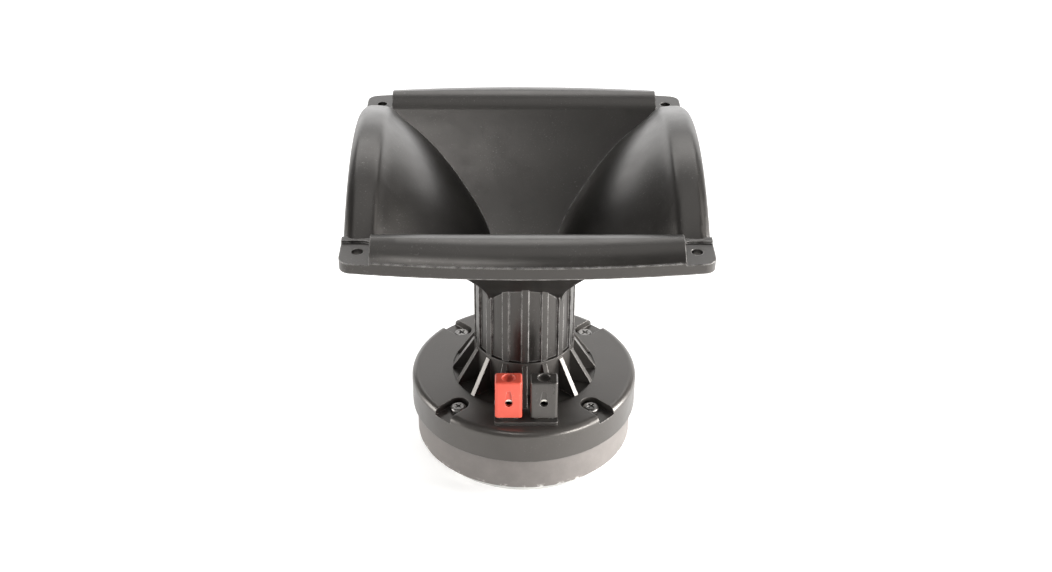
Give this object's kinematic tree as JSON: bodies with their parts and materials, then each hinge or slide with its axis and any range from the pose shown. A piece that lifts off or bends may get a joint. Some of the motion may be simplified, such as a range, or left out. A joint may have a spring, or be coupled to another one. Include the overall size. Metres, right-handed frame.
{
  "type": "screw-on compression driver with radial horn",
  "caption": "Ferrite compression driver with a ribbed plastic cover and sprung push terminals, screwed into a square-flanged black radial horn.",
  "frame": {"origin": "centre of the back plate's underside", "axes": "+Z along the horn's axis towards its mouth, -Y towards the side with the push terminals, +X along the flange's straight ends' normal"},
  "size_m": [0.1436, 0.1606, 0.1566],
  "materials": {
    "plated_steel": "zinc plated",
    "ferrite": "matte ceramic",
    "damping_foam": "open foam",
    "coil_former": "amber film",
    "copper_wire": "enamelled",
    "titanium_film": "satin foil",
    "surround_film": "thin film",
    "ring_plastic": "satin",
    "tinned_brass": "tin plated",
    "cover_plastic": "semi-gloss moulded",
    "screw_steel": "black zinc",
    "terminal_black": "moulded",
    "terminal_red": "moulded",
    "spring_steel": "bright wire",
    "gasket_rubber": "matte",
    "horn_plastic": "satin moulded"
  },
  "bodies": {
    "driver": {"back_plate": "plated_steel", "pole_piece": "plated_steel", "magnet_ring": "ferrite", "top_plate": "plated_steel", "pole_damping_pad": "damping_foam", "diaphragm_ring": "ring_plastic", "diaphragm_surround": "surround_film", "locating_pins": "plated_steel", "ring_eyelets": "tinned_brass", "lead_wires": "copper_wire", "phase_plug": "ring_plastic", "front_cover": "cover_plastic", "threaded_snout": "cover_plastic", "cover_screws": "screw_steel", "terminal_base": "terminal_black", "terminal_contact_red": "tinned_brass", "terminal_contact_black": "tinned_brass", "terminal_spring_red": "spring_steel", "terminal_spring_black": "spring_steel", "throat_gasket": "gasket_rubber", "horn": "horn_plastic"},
    "moving_coil": {"diaphragm_dome": "titanium_film", "voice_coil_former": "coil_former", "voice_coil_winding": "copper_wire"},
    "red_cap": {"terminal_cap_red": "terminal_red"},
    "black_cap": {"terminal_cap_black": "terminal_black"}
  },
  "joints": [
    {"name": "coil_travel", "type": "slide", "parent": "driver", "child": "moving_coil", "axis": [0, 0, 1], "range_m": [-0.0003, 0.0003], "stiffness_N_per_m": 2000, "deforming": ["diaphragm_surround"]},
    {"name": "red_cap_press", "type": "slide", "parent": "driver", "child": "red_cap", "axis": [0, 0, -1], "range_m": [0, 0.0018], "stiffness_N_per_m": 400, "springref_m": -0.001, "deforming": ["terminal_spring_red"]},
    {"name": "black_cap_press", "type": "slide", "parent": "driver", "child": "black_cap", "axis": [0, 0, -1], "range_m": [0, 0.0018], "stiffness_N_per_m": 400, "springref_m": -0.001, "deforming": ["terminal_spring_black"]}
  ]
}
